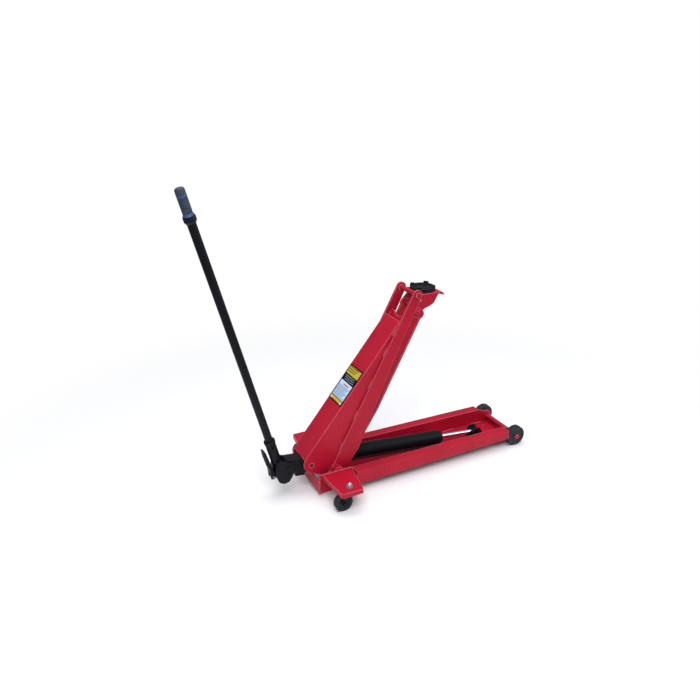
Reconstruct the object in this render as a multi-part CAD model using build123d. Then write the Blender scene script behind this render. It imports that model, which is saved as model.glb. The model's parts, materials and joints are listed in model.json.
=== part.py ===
from build123d import *
import math
import os

# Long-chassis hydraulic trolley jack, lift arm raised, handle up.
# +X runs from the handle end to the front axle, +Y to the jack's left, +Z up. Millimetres.
# The dimensions below are laid out from the rear plate (x = 0) and the ground (z = 0).
# The finished pieces are then moved so that the origin is the bottom centre of the whole box.

# ---- overall ----
arm_length = 753.0          # arm pivot to head pivot
arm_angle = 62.8            # arm above horizontal as modelled
arm_pivot_x = 92.0
arm_pivot_z = 86.0
link_drop = 60.0            # link pivots below the arm pivots
link_lead = 10.0            # link pivots ahead of the arm pivots
axle_x = 946.0              # front axle

# ---- frame ----
web_inner = 88.0            # half distance between the side webs
web_t = 6.0
rail_out = 131.0            # half width over the folded lips
sheet_t = 5.0
rail_x0 = 150.0             # flange starts
rail_x1 = axle_x - 47.0     # flange ends
rail_z0 = 93.0              # flange top at the rear
rail_z1 = 85.0              # flange top at the front
lip_z0 = 36.0
lip_z1 = 46.0
wall_z = 97.0               # side web top at the rear
frame_z = 14.0              # underside of the frame
floor_t = 4.0
rear_plate_t = 5.0
rear_plate_top = 70.0
rear_plate_half = 100.0
ear_r = 27.0

# ---- front wheels and axle ----
front_wheel_r = 44.7
front_wheel_w = 30.0
axle_r = 8.0
axle_len_half = 129.0
run_gap = 0.05              # radial running clearance of pins and shafts
side_gap = 0.4              # sideways gap between neighbouring moving pieces
link_pin_gap = 0.35         # radial room of the links' top pin in the head bracket

# ---- casters ----
wing_out = 245.0
wing_lip = 19.0
kingpin_x = 77.0
kingpin_y = 207.0
caster_r = 36.6
caster_w = 26.0
caster_trail = 27.0
kingpin_r = 7.0
caster_axle_r = 6.0

# ---- arm ----
cheek_in = 56.0
cheek_t = 9.0
arm_pin_r = 13.0
head_pin_r = 9.0
crank_x = -12.0
crank_z = 126.0
crank_pin_r = 10.0
hood_t = 4.0
hood_top_s = 635.0          # hood upper edge, along the arm
hood_top_n = 19.5
hood_end_s = -1.0           # hood lower edge
hood_end_n = 148.0

# ---- parallel link ----
link_in = 42.0
link_out = 50.5
link_web_t = 4.0
link_pin_r = 8.0
link_up = 14.0              # link edge above its pivot line
link_down = 33.0            # link edge below its pivot line
link_foot_down = 11.0

# ---- head and saddle ----
head_in = 51.0
head_t = 4.6
saddle_lead = 60.8          # saddle centre ahead of the head pivot
head_drop = 3.1             # bracket top below the head pivot line
saddle_r = 49.0
stem_r = 14.0

# ---- hydraulic unit ----
anchor_x = axle_x - 133.0
anchor_z = 41.0
cylinder_r = 29.5
rod_shown = 193.4           # cylinder's front end to the anchor pin
block_front = 46.0
rod_r = 10.5
anchor_pin_r = 8.0
anchor_play = 8.4           # radial room round the anchor pin in its lugs

# ---- handle ----
handle_tilt = 14.4          # back from vertical
handle_foot_x = -134.0
handle_foot_z = 143.0
handle_r = 15.2
handle_bore_r = 12.4
handle_len = 1090.0
grip_r = 16.8
collar_r = 21.5
socket_r = 20.0

# ---- derived ----
arm_rad = math.radians(arm_angle)
head_x = arm_pivot_x + arm_length * math.cos(arm_rad)
head_z = arm_pivot_z + arm_length * math.sin(arm_rad)
head_top_z = head_z - head_drop
saddle_x = head_x + saddle_lead
saddle_top = head_top_z + 14.4
link_x = arm_pivot_x + link_lead
link_z = arm_pivot_z - link_drop
link_top_x = head_x + link_lead
link_top_z = head_z - link_drop
unit_tilt = math.degrees(math.atan2(crank_z - anchor_z, anchor_x - crank_x))
unit_len = math.hypot(crank_z - anchor_z, anchor_x - crank_x)
cylinder_end = unit_len - rod_shown     # crank pin to the cylinder's front end
pipe_y = -0.84 * (cylinder_r + 7.4)
pipe_h = -0.54 * (cylinder_r + 7.4)
web_out = web_inner + web_t
cheek_out = cheek_in + cheek_t
head_out = head_in + head_t
axle_z = front_wheel_r

arm_frame = Pos(arm_pivot_x, 0, arm_pivot_z) * Rot(0, -arm_angle, 0)
link_frame = Pos(link_x, 0, link_z) * Rot(0, -arm_angle, 0)
unit_frame = Pos(crank_x, 0, crank_z) * Rot(0, unit_tilt, 0)
handle_frame = Pos(handle_foot_x, 0, handle_foot_z) * Rot(0, -handle_tilt, 0)

# socket pivot and plunger, in the unit's own frame (x forward from the crank pin, z up)
pivot_u = -80.0
pivot_h = -14.0
plunger_h = -42.0
socket_pin_r = 8.0
roller_r = 7.0
plunger_r = 7.5
neck_half = 24.0
boss_end = -50.0
ear_in = 24.5
ear_t = 8.0
unit_rad = math.radians(unit_tilt)
pivot_x = crank_x + pivot_u * math.cos(unit_rad) + pivot_h * math.sin(unit_rad)
pivot_z = crank_z - pivot_u * math.sin(unit_rad) + pivot_h * math.cos(unit_rad)
heel_x = crank_x + pivot_u * math.cos(unit_rad) + plunger_h * math.sin(unit_rad)
heel_z = crank_z - pivot_u * math.sin(unit_rad) + plunger_h * math.cos(unit_rad)
pedal_pin_r = 4.0
pedal_x = pivot_x - 62.0
pedal_z = pivot_z - 30.0

pieces = {}


def box(x0, x1, y0, y1, z0, z1):
    """Block between two corners."""
    return Pos((x0 + x1) / 2, (y0 + y1) / 2, (z0 + z1) / 2) * Box(x1 - x0, y1 - y0, z1 - z0)


def plate(points, y0, y1, radius=0.0):
    """Flat plate standing in the XZ plane, from y0 to y1, corners rounded."""
    face = make_face(Polyline(*points, close=True))
    if radius > 0:
        face = fillet(face.vertices(), radius)
    return Rot(90, 0, 0) * Pos(0, 0, -y1) * extrude(face, y1 - y0)


def cross_pin(x, z, radius, y0, y1):
    """Round bar along Y."""
    return Pos(x, (y0 + y1) / 2, z) * Rot(90, 0, 0) * Cylinder(radius, y1 - y0)


def long_bar(z, radius, x0, x1, y=0.0):
    """Round bar along X."""
    return Pos((x0 + x1) / 2, y, z) * Rot(0, 90, 0) * Cylinder(radius, x1 - x0)


def post(x, y, radius, z0, z1):
    """Round bar along Z."""
    return Pos(x, y, (z0 + z1) / 2) * Cylinder(radius, z1 - z0)


def hexagon(x, z, across, y0, y1):
    """Hexagonal head along Y."""
    face = RegularPolygon(across / math.sqrt(3), 6)
    return Pos(x, 0, z) * Rot(90, 0, 0) * Pos(0, 0, -y1) * extrude(face, y1 - y0)


def span(side, a, b):
    """The interval a..b taken to one side, in rising order."""
    return (a, b) if side > 0 else (-b, -a)


def rail(side):
    """Side rail: web to the floor, outward flange, folded lip and axle ear."""
    web = plate([(rear_plate_t, frame_z), (rear_plate_t, wall_z), (rail_x0 - 8, wall_z),
                 (rail_x0 + 4, rail_z0), (rail_x1, rail_z1), (axle_x - 6, axle_z + ear_r - 1.5),
                 (axle_x - 6, axle_z - ear_r), (rail_x0, frame_z)], *span(side, web_inner, web_out))
    ear = cross_pin(axle_x, axle_z, ear_r, *span(side, web_inner, web_out))
    flange = plate([(rail_x0, rail_z0), (rail_x1, rail_z1), (rail_x1, rail_z1 - sheet_t),
                    (rail_x0, rail_z0 - sheet_t)], *span(side, web_inner + 1, rail_out))
    lip = plate([(rail_x0, rail_z0), (rail_x1, rail_z1), (rail_x1, lip_z1), (rail_x0, lip_z0)],
                *span(side, rail_out - sheet_t, rail_out))
    body = web + ear + flange + lip
    edges = body.edges().filter_by(lambda e: abs(abs(e.center().Y) - rail_out) < 0.1
                                   and e.length > 500 and e.center().Z > 80)
    body = fillet(edges, 4.0)
    body = body - cross_pin(axle_x, axle_z, axle_r, *span(side, web_inner - 5, web_out + 5))
    body = body - cross_pin(arm_pivot_x, arm_pivot_z, 9.0, *span(side, web_inner - 5, web_out + 5))
    body = body - cross_pin(link_x, link_z, 6.0, *span(side, web_inner - 5, web_out + 5))
    return body


def floor_plate():
    """Floor sheet between the webs, turned up ahead of the axle."""
    x1 = axle_x + 15
    sheet = box(rail_x0, x1, -web_inner, web_inner, frame_z, frame_z + floor_t)
    lip = box(x1 - floor_t, x1, -web_inner, web_inner, frame_z, frame_z + 35)
    hole = post(axle_x - 38, 60, 4.0, 0, 40) + post(axle_x - 38, -60, 4.0, 0, 40)
    return sheet + lip - hole


def rear_plate():
    """Low cross plate that closes the rear of the frame."""
    return box(0, rear_plate_t, -rear_plate_half, rear_plate_half, 16, rear_plate_top)


def wing(side):
    """Caster wing: trapezoid top plate with lips turned down on three edges."""
    top = [(14, web_out), (29, wing_out), (118, wing_out), (143, web_out)]
    inner = [(14 + 4.2, web_out), (29 + 3.6, wing_out - sheet_t), (118 - 2.9, wing_out - sheet_t),
             (143 - 4.8, web_out)]
    outer_face = fillet(make_face(Polyline(*top, close=True)).vertices().sort_by(Axis.Y)[-2:], 7.0)
    outer = Pos(0, 0, wall_z - wing_lip) * extrude(outer_face, wing_lip)
    hollow = Pos(0, 0, wall_z - wing_lip - 1) * extrude(make_face(Polyline(*inner, close=True)),
                                                        wing_lip - sheet_t + 1)
    body = outer - hollow - post(kingpin_x, kingpin_y, kingpin_r, 0, 200)
    return body if side > 0 else mirror(body, about=Plane.XZ)


def kingpins():
    """Caster kingpins: shank through the wing, washer and dome nut above, head below."""
    out = []
    for side in (1, -1):
        y = side * kingpin_y
        shank = post(kingpin_x, y, kingpin_r, wall_z - 14, wall_z + 4)
        washer = post(kingpin_x, y, 15.0, wall_z, wall_z + 2)
        nut = Pos(kingpin_x, y, wall_z + 2) * extrude(RegularPolygon(12.0, 6), 7)
        dome = Pos(kingpin_x, y, wall_z + 9) * Sphere(8.5)
        dome = dome & box(kingpin_x - 20, kingpin_x + 20, y - 20, y + 20, wall_z + 5, wall_z + 30)
        head = post(kingpin_x, y, 11.0, wall_z - 18, wall_z - 13.8)
        out.append(shank + washer + nut + dome + head)
    return Compound(out)


def caster_fork(side):
    """Swivelling fork: round top plate, two legs sloping back to the axle."""
    x, y = kingpin_x, side * kingpin_y
    top_z = wall_z - sheet_t - 0.4
    disc = post(x, y, 24.0, top_z - 5, top_z)
    boss = post(x, y, 13.0, top_z - 8, top_z)
    w = caster_w / 2 + 1.5
    legs = None
    for a in (1, -1):
        y0, y1 = (y + w, y + w + 4) if a > 0 else (y - w - 4, y - w)
        leg = plate([(x - 22, top_z - 1), (x + 20, top_z - 1), (x + 8, top_z - 24),
                     (x - caster_trail + 11, caster_r - 8), (x - caster_trail - 11, caster_r - 8),
                     (x - caster_trail - 12, caster_r + 10)], y0, y1, 3.0)
        legs = leg if legs is None else legs + leg
    bridge = box(x - 20, x + 18, y - w - 4, y + w + 4, top_z - 5, top_z)
    body = disc + boss + bridge + legs
    body = body - post(x, y, kingpin_r + run_gap, 0, 200)
    return body - cross_pin(x - caster_trail, caster_r, caster_axle_r, y - 40, y + 40)


def caster_wheel(side):
    """Solid caster wheel with a raised hub."""
    x, y = kingpin_x - caster_trail, side * kingpin_y
    tyre = cross_pin(x, caster_r, caster_r, y - caster_w / 2 + 1, y + caster_w / 2 - 1)
    tyre = fillet(tyre.edges(), 5.0)
    hub = cross_pin(x, caster_r, 13.0, y - caster_w / 2, y + caster_w / 2)
    return tyre + hub - cross_pin(x, caster_r, caster_axle_r + run_gap, y - 40, y + 40)


def caster_axle(side):
    """Caster axle bolt with a hexagonal head and nut outside the fork."""
    x, y = kingpin_x - caster_trail, side * kingpin_y
    half = caster_w / 2 + 1.5 + 4
    pin = cross_pin(x, caster_r, caster_axle_r, y - half - 1, y + half + 1)
    return pin + hexagon(x, caster_r, 16, y - half - 5, y - half) + hexagon(x, caster_r, 16, y + half,
                                                                        y + half + 5)


def front_axle():
    """Front axle bar through both ears with washers outside the wheels."""
    bar = cross_pin(axle_x, axle_z, axle_r, -axle_len_half, axle_len_half)
    return bar


def front_wheel(side):
    """Cast front wheel: rounded rim and dished web on a plain bore."""
    y0, y1 = span(side, web_out + 4, web_out + 4 + front_wheel_w)
    rim = fillet(cross_pin(axle_x, axle_z, front_wheel_r, y0, y1).edges(), 4.0)
    face_y = span(side, web_out + front_wheel_w, web_out + 4 + front_wheel_w + 1)
    groove = cross_pin(axle_x, axle_z, 31.0, *face_y) - cross_pin(axle_x, axle_z, 20.0, *face_y)
    return rim - groove - cross_pin(axle_x, axle_z, axle_r + run_gap, y0 - 5, y1 + 5)


def hub_caps():
    """Domed push-on caps that hold the front wheels on the axle."""
    out = []
    for side in (1, -1):
        y = side * (web_out + 4 + front_wheel_w + 0.4)
        cap = Pos(axle_x, y, axle_z) * Sphere(11.0)
        cut = span(side, abs(y), abs(y) + 5.0)
        cap = cap & box(axle_x - 20, axle_x + 20, cut[0], cut[1], axle_z - 20, axle_z + 20)
        out.append(cap - cross_pin(axle_x, axle_z, axle_r, -axle_len_half, axle_len_half))
    return Compound(out)


def wheel_spacers():
    """Spacer collars on the axle between ear and wheel."""
    out = []
    for side in (1, -1):
        y0, y1 = span(side, web_out, web_out + 3.6)
        ring = cross_pin(axle_x, axle_z, 14.0, y0, y1)
        out.append(ring - cross_pin(axle_x, axle_z, axle_r, y0 - 1, y1 + 1))
    return Compound(out)


def arm_pivot_pins():
    """Stub shafts, one each side, from the side web into the arm cheek."""
    out = []
    for side in (1, -1):
        stub = cross_pin(arm_pivot_x, arm_pivot_z, arm_pin_r, *span(side, cheek_in - 3, web_inner))
        shoulder = cross_pin(arm_pivot_x, arm_pivot_z, 20.0, *span(side, cheek_out + side_gap, web_inner))
        tail = cross_pin(arm_pivot_x, arm_pivot_z, 9.0, *span(side, web_inner - 1, web_out))
        clip = cross_pin(arm_pivot_x, arm_pivot_z, 16.5, *span(side, cheek_in - 3, cheek_in - side_gap))
        out.append(stub + shoulder + tail + clip)
    return Compound(out)


def link_pivot_pins():
    """Stub shafts, one each side, from the side web into the link foot."""
    out = []
    for side in (1, -1):
        stub = cross_pin(link_x, link_z, link_pin_r, *span(side, link_in - 2, web_inner))
        shoulder = cross_pin(link_x, link_z, 11.0, *span(side, link_out + side_gap, web_inner))
        tail = cross_pin(link_x, link_z, 6.0, *span(side, web_inner - 1, web_out + 3))
        clip = cross_pin(link_x, link_z, 11.0, *span(side, link_in - 3, link_in - side_gap))
        out.append(stub + shoulder + tail + clip)
    return Compound(out)


def anchor_bracket():
    """Two lugs on a base plate bolted to the floor, with roomy holes for the ram pin."""
    z0 = frame_z + floor_t
    base = box(anchor_x - 34, anchor_x + 30, -44, 44, z0, z0 + 5)
    body = base - box(anchor_x - 27, anchor_x + 27, -28.4, 28.4, z0 + 2, z0 + 8)
    for side in (1, -1):
        y0, y1 = span(side, 15.0, 24.0)
        body += plate([(anchor_x - 24, z0), (anchor_x + 24, z0), (anchor_x + 24, z0 + 22),
                       (anchor_x + 12, anchor_z + 23), (anchor_x - 14, anchor_z + 23),
                       (anchor_x - 24, anchor_z + 10)], y0, y1)
    body -= cross_pin(anchor_x, anchor_z, anchor_pin_r + anchor_play, -60, 60)
    for x in (anchor_x - 22, anchor_x + 18):
        for y in (-34, 34):
            body -= post(x, y, 4.2, z0 - 1, z0 + 6)
    return body


def anchor_bolts():
    """Hexagon bolts that hold the anchor bracket to the floor."""
    z0 = frame_z + floor_t + 5
    out = []
    for x in (anchor_x - 22, anchor_x + 18):
        for y in (-34, 34):
            shank = post(x, y, 4.0, z0 - 5, z0 + 1)
            out.append(shank + Pos(x, y, z0) * extrude(RegularPolygon(7.5, 6), 5))
    return Compound(out)


def cheek(side):
    """Arm cheek: deep at the frame, narrow with a rounded top at the head."""
    y0, y1 = span(side, cheek_in, cheek_out)
    bar = plate([(-4, 22), (60, 24), (420, 22), (arm_length - 2, 19.6), (arm_length - 2, -19.6),
                 (420, -30), (110, -54), (34, -44), (-4, -24)], y0, y1)
    foot = cross_pin(0, 0, 26.0, y0, y1)
    tip = cross_pin(arm_length, 0, 20.0, y0, y1)
    body = bar + foot + tip
    body = body - cross_pin(0, 0, arm_pin_r + run_gap, y0 - 5, y1 + 5)
    return body - cross_pin(arm_length, 0, head_pin_r, y0 - 5, y1 + 5)


def arm_web():
    """Cross web between the cheeks near the head, its upper edge scooped out."""
    body = box(592, 660, -cheek_in, cheek_in, -5, 0)
    scoop = Pos(700, 0, -2) * Cylinder(52.0, 20)
    return body - scoop


def hood_points():
    """Side outline of the hood in the arm's frame."""
    top_s, top_n = hood_top_s, hood_top_n
    return [(top_s, top_n), (top_s, 12.0), (150, 12.0), (40, 20.0), (-22, 24.0), (-38, 40.0), (-42, 60.0),
            (-43, 107.0), (-39, 122.0), (-28, 138.0), (-16, 146.0), (hood_end_s, hood_end_n)]


def hood():
    """Folded hood: sloping top plate and two side plates that carry the crank pin."""
    body = None
    for side in (1, -1):
        y0, y1 = span(side, cheek_in - hood_t, cheek_in)
        wall = plate(hood_points(), y0, y1)
        body = wall if body is None else body + wall
    ds = hood_top_s - hood_end_s
    dn = hood_top_n - hood_end_n
    length = math.hypot(ds, dn)
    ns, nn = dn / length, -ds / length
    a = (hood_top_s, hood_top_n)
    b = (hood_end_s, hood_end_n)
    top = plate([a, b, (b[0] + ns * hood_t, b[1] + nn * hood_t), (a[0] + ns * hood_t, a[1] + nn * hood_t)],
                -cheek_in, cheek_in)
    body = body + top
    cs, cn = crank_local()
    return body - cross_pin(cs, cn, crank_pin_r, -80, 80)


def crank_local():
    """Crank pin position in the arm's frame."""
    dx = crank_x - arm_pivot_x
    dz = crank_z - arm_pivot_z
    s = dx * math.cos(arm_rad) + dz * math.sin(arm_rad)
    n = -dx * math.sin(arm_rad) + dz * math.cos(arm_rad)
    return s, n


def crank_pin():
    """Pin through both hood sides and the pump block."""
    bar = cross_pin(crank_x, crank_z, crank_pin_r, -cheek_in, cheek_in)
    socket = cross_pin(crank_x, crank_z, 4.0, -cheek_in - 1, -cheek_in + 6)
    return bar - socket - mirror(socket, about=Plane.XZ)


def head_pin():
    """Head pivot pin across both cheeks with a flat head each side."""
    bar = cross_pin(head_x, head_z, head_pin_r, -cheek_out - 2, cheek_out + 2)
    heads = cross_pin(head_x, head_z, 12.5, cheek_out, cheek_out + 6)
    return bar + heads + mirror(heads, about=Plane.XZ)


def link(side):
    """Channel-section link: web inboard, flanges turned outwards, round pierced ends."""
    y0, y1 = span(side, link_in, link_out)
    outline = [(0, link_up), (arm_length, link_up), (arm_length, -14), (arm_length - 24, -link_down),
               (330, -link_down), (60, -link_foot_down), (0, -link_foot_down)]
    solid = plate(outline, y0, y1)
    inner = [(34, link_up - 4), (arm_length - 34, link_up - 4), (arm_length - 34, -link_down + 4),
             (336, -link_down + 4), (64, -link_foot_down + 4), (34, -link_foot_down + 4)]
    pocket = plate(inner, *span(side, link_in + link_web_t, link_out + 5))
    foot = cross_pin(0, 0, link_up - 1.0, y0, y1)
    tip = cross_pin(arm_length, 0, 18.0, y0, y1)
    boss = cross_pin(arm_length - 15.4, -20.0, 19.0, y0, y1)
    body = solid - pocket + foot + tip + boss
    body = body - cross_pin(0, 0, link_pin_r + run_gap, y0 - 5, y1 + 5)
    return body - cross_pin(arm_length, 0, link_pin_r, y0 - 5, y1 + 5)


def link_top_pin():
    """Through pin that ties the two links and steadies the head."""
    return cross_pin(link_top_x, link_top_z, link_pin_r, -head_out - 0.0, head_out + 0.0)


def head_bracket():
    """Saddle bracket: two side plates under a top plate that ends in a beak."""
    x1, z1 = head_x, head_z
    body = None
    xs, zt = saddle_x, head_top_z
    side_points = [(x1 + 2, zt), (xs + 41, zt), (xs + 36, zt - 10.6), (xs + 19, zt - 40.6),
                   (xs + 3, zt - 49.6), (xs - 23, zt - 58.6), (link_top_x + 21, link_top_z - 6),
                   (link_top_x + 13, link_top_z - 18), (link_top_x, link_top_z - 22),
                   (link_top_x - 13, link_top_z - 16), (link_top_x - 17, link_top_z - 3),
                   (link_top_x - 12, link_top_z + 8), (xs - 38, zt - 24), (xs - 39, zt - 17),
                   (x1 + 10, zt - 10)]
    for side in (1, -1):
        y0, y1 = span(side, head_in, head_out)
        wall = plate(side_points, y0, y1)
        wall += cross_pin(x1, z1 - 1, 14.5, y0, y1)
        body = wall if body is None else body + wall
    top = box(xs - 45, xs + 43, -head_out, head_out, zt - 6, zt)
    beak = plate([(xs + 39, zt), (xs + 59, zt - 3), (xs + 69, zt - 12), (xs + 69, zt - 17), (xs + 39, zt - 8)],
                 -head_out + 6, head_out - 6)
    body = body + top + beak
    body = body - cross_pin(x1, z1, head_pin_r + run_gap, -80, 80)
    body = body - cross_pin(link_top_x, link_top_z, link_pin_r + link_pin_gap, -80, 80)
    return body - post(saddle_x, 0, stem_r + run_gap, 0, 900)


def saddle():
    """Round saddle: dished pad with four lugs, on a stem that turns in the bracket."""
    z0 = head_top_z + 0.4
    pad = post(saddle_x, 0, saddle_r, z0, saddle_top)
    pad = fillet(pad.edges(), 2.0)
    dish = post(saddle_x, 0, saddle_r - 13, saddle_top - 5, saddle_top + 5)
    lugs = None
    for k in range(4):
        lug = Rot(0, 0, 40 + 90 * k) * box(saddle_r - 12, saddle_r, -9, 9, saddle_top - 6, saddle_top + 7)
        lugs = lug if lugs is None else lugs + lug
    stem = post(saddle_x, 0, stem_r, head_top_z - 16, z0 + 2)
    return pad - dish + Pos(saddle_x, 0, 0) * lugs + stem


def saddle_clip():
    """Ring that keeps the saddle stem in the bracket."""
    z1 = head_top_z - 6.4
    return post(saddle_x, 0, 20.0, z1 - 4, z1) - post(saddle_x, 0, stem_r, z1 - 10, z1 + 10)


def pump_block():
    """Cast pump body: trunnion block, tapering neck and the pump boss under it."""
    main = plate([(-26, -32), (block_front, -32), (block_front, 31), (2, 31), (-26, 18)], -44, 44, 6.0)
    neck = plate([(-10, -26), (-93, -26), (-93, 12), (-88, 18), (-10, 18)], -neck_half, neck_half, 3.0)
    boss_outline = [(-10, -60), (boss_end, -60), (boss_end, -20), (-10, -20)]
    boss = plate(boss_outline, -neck_half + 4, neck_half - 4, 4.0)
    body = main + neck + boss
    body -= cross_pin(0, 0, crank_pin_r + run_gap, -60, 60)
    body -= cross_pin(pivot_u, pivot_h, socket_pin_r + run_gap, -60, 60)
    body -= long_bar(plunger_h, plunger_r + run_gap, boss_end - 5, -16)
    return body


def cylinder():
    """Ram cylinder tube, closed round nose with the rod hole."""
    tube = long_bar(0, cylinder_r, block_front, cylinder_end)
    tube = fillet(tube.edges().sort_by(Axis.X)[-1], 4.0)
    bore = long_bar(0, cylinder_r - 5, block_front + 4, cylinder_end - 30)
    hole = long_bar(0, rod_r + run_gap, cylinder_end - 40, cylinder_end + 5)
    return tube - bore - hole


def gland():
    """Gland nut behind the cylinder nose."""
    ring = long_bar(0, cylinder_r - 7, cylinder_end - 1 + 1, cylinder_end + 5)
    return ring - long_bar(0, rod_r + run_gap, cylinder_end - 5, cylinder_end + 10)


def oil_pipe():
    """Thin oil pipe low on the right side of the cylinder."""
    return long_bar(pipe_h, 4.0, block_front, cylinder_end - 12, pipe_y)


def pipe_ends():
    """Banjo union and bolt at the front end of the oil pipe."""
    x = cylinder_end - 5
    union = long_bar(pipe_h, 7.0, x - 7, x + 5, pipe_y)
    return union + Pos(x, pipe_y - 6, pipe_h) * Rot(90, 0, 0) * Cylinder(5.5, 8)


def filler_plug():
    """Oil filler plug on top of the pump block."""
    return post(22, 18, 7.0, 31, 35)


def valve_plugs():
    """Screwed valve plugs under the pump boss."""
    out = []
    for x in (-30, -15):
        out.append(post(x, 0, 6.0, -65, -60))
    return Compound(out)


def piston_rod():
    """Ram rod from the piston to the eye."""
    return long_bar(0, rod_r, cylinder_end - 60, unit_len - 22)


def piston():
    """Piston at the inner end of the rod."""
    return long_bar(0, cylinder_r - 5 - run_gap, cylinder_end - 92, cylinder_end - 60)


def rod_eye():
    """Black eye block on the rod with washers outside the anchor lugs."""
    eye = cross_pin(unit_len, 0, 14.5, -14, 14) + box(unit_len - 22, unit_len, -13, 13, -13, 13)
    return eye - cross_pin(unit_len, 0, anchor_pin_r, -30, 30)


def anchor_pin():
    """Ram pin with broad washers that cover the roomy lug holes."""
    pin = cross_pin(unit_len, 0, anchor_pin_r, -28, 28)
    disc = cross_pin(unit_len, 0, 14.5, 24.4, 27.4)
    return pin + disc + mirror(disc, about=Plane.XZ)


def plunger():
    """Pump plunger: plain shank in the pump boss."""
    head_u = pivot_u + roller_r + 0.3
    return long_bar(plunger_h, plunger_r, head_u, -39)


def socket():
    """Handle socket: tube, two ears round the pump neck and the heel that works the plunger."""
    tube = handle_frame * post(0, 0, socket_r, -62, 108)
    rim = handle_frame * post(0, 0, socket_r + 1.6, 94, 108)
    ears = None
    px, pz = pivot_x, pivot_z
    for side in (1, -1):
        y0, y1 = span(side, ear_in, ear_in + ear_t)
        ear = plate([(px + 17, pz + 8), (px + 10, pz + 21), (px - 20, pz + 34), (px - 52, pz + 40),
                     (px - 58, pz - 10), (px - 44, pz - 52), (px - 24, pz - 62), (px - 4, pz - 58),
                     (px + 12, pz - 34), (px + 18, pz - 8)], y0, y1, 4.0)
        ears = ear if ears is None else ears + ear
    bridge = plate([(px - 52, pz + 36), (px - 58, pz - 10), (px - 44, pz - 52), (px - 34, pz - 54),
                    (px - 26, pz - 10), (px - 26, pz + 34)], -ear_in - 1, ear_in + 1)
    body = tube + rim + ears + bridge
    body -= unit_frame * box(-95, -40, -neck_half - 0.4, neck_half + 0.4, -68, 26)
    neck_room = unit_frame * box(-94, -20, -neck_half - 0.4, neck_half + 0.4, -27, 19)
    for turn in (8, 16, 24, 32, 40, 46):
        body -= Pos(px, 0, pz) * Rot(0, turn, 0) * Pos(-px, 0, -pz) * neck_room
    body -= cross_pin(heel_x, heel_z, roller_r + 1.0, -9, 9)
    body -= handle_frame * post(0, 0, handle_r + run_gap, -34, 200)
    body -= cross_pin(px, pz, socket_pin_r, -60, 60)
    body -= cross_pin(heel_x, heel_z, 4.0, -60, 60)
    body -= cross_pin(pedal_x, pedal_z, pedal_pin_r, -60, 60)
    return body


def socket_pin():
    """Socket pivot pin with a head each side."""
    half = ear_in + ear_t
    pin = cross_pin(pivot_x, pivot_z, socket_pin_r, -half, half)
    heads = cross_pin(pivot_x, pivot_z, 11.0, half, half + 3)
    return pin + heads + mirror(heads, about=Plane.XZ)


def heel_roller():
    """Roller and its pin in the heel, bearing on the plunger."""
    half = ear_in + ear_t
    pin = cross_pin(heel_x, heel_z, 4.0, -half, half)
    heads = cross_pin(heel_x, heel_z, 6.5, half, half + 3)
    return pin + heads + mirror(heads, about=Plane.XZ) + cross_pin(heel_x, heel_z, roller_r, -8, 8)


def clamp_bolt():
    """Screw through the socket collar."""
    bolt = Pos(0, -socket_r - 4, 78) * Rot(90, 0, 0) * Cylinder(4.0, 8)
    head = Pos(0, -socket_r - 10, 78) * Rot(90, 0, 0) * extrude(RegularPolygon(7.0, 6), 5, both=False)
    return handle_frame * (bolt + Pos(0, 4, 0) * head)


def handle_tube():
    """Straight handle tube."""
    return handle_frame * (post(0, 0, handle_r, -33.6, handle_len) - post(0, 0, handle_bore_r, -40, 1200))


def grip():
    """Hand grip sleeve over the plug at the handle's upper end, rounded top."""
    z1 = handle_len
    body = fillet(post(0, 0, grip_r, z1 - 74, z1 + 6).edges().sort_by(Axis.Z)[-1], 9.0)
    return handle_frame * (body - post(0, 0, handle_r, z1 - 80, z1))


def collar():
    """Knob-like guard ring below the grip."""
    z1 = handle_len - 75
    ring = post(0, 0, collar_r, z1 - 36, z1)
    ring = chamfer(ring.edges(), 7.0)
    return handle_frame * (ring - post(0, 0, handle_r, z1 - 50, z1 + 10))


def pedal():
    """Foot pedal folded up behind the socket: forked foot, channel body, blunt tip."""
    ux, uz = -math.sin(math.radians(handle_tilt)), math.cos(math.radians(handle_tilt))
    tip_x = pedal_x + ux * 118 - 8
    tip_z = pedal_z + uz * 118
    body = plate([(pedal_x - 10, pedal_z - 6), (pedal_x + 2, pedal_z - 10), (pedal_x + 8, pedal_z + 6),
                  (tip_x + 11, tip_z), (tip_x, tip_z + 4), (pedal_x - 14, pedal_z + 30)], -17, 17, 2.0)
    slot = plate([(pedal_x - 40, pedal_z - 20), (pedal_x + 20, pedal_z - 20), (pedal_x + 20, pedal_z + 20),
                  (pedal_x - 40, pedal_z + 20)], -9, 9)
    return body - slot - cross_pin(pedal_x, pedal_z, pedal_pin_r + run_gap, -60, 60)


def pedal_tongue():
    """Tongue on the socket heel that carries the pedal pin."""
    tongue = plate([(pedal_x - 7, pedal_z - 7), (pedal_x - 7, pedal_z + 7), (pivot_x - 50, pedal_z + 14),
                    (pivot_x - 50, pedal_z - 10)], -8.5, 8.5)
    return tongue - cross_pin(pedal_x, pedal_z, pedal_pin_r, -60, 60)


def pedal_pin():
    """Pedal hinge pin."""
    return cross_pin(pedal_x, pedal_z, pedal_pin_r, -17, 17)


for side, name in ((1, "left"), (-1, "right")):
    pieces["rail_" + name] = rail(side)
    pieces["caster_wing_" + name] = wing(side)
    pieces["caster_fork_" + name] = caster_fork(side)
    pieces["caster_wheel_" + name] = caster_wheel(side)
    pieces["caster_axle_" + name] = caster_axle(side)
    pieces["front_wheel_" + name] = front_wheel(side)
    pieces["arm_cheek_" + name] = arm_frame * cheek(side)
    pieces["link_" + name] = link_frame * link(side)

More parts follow.
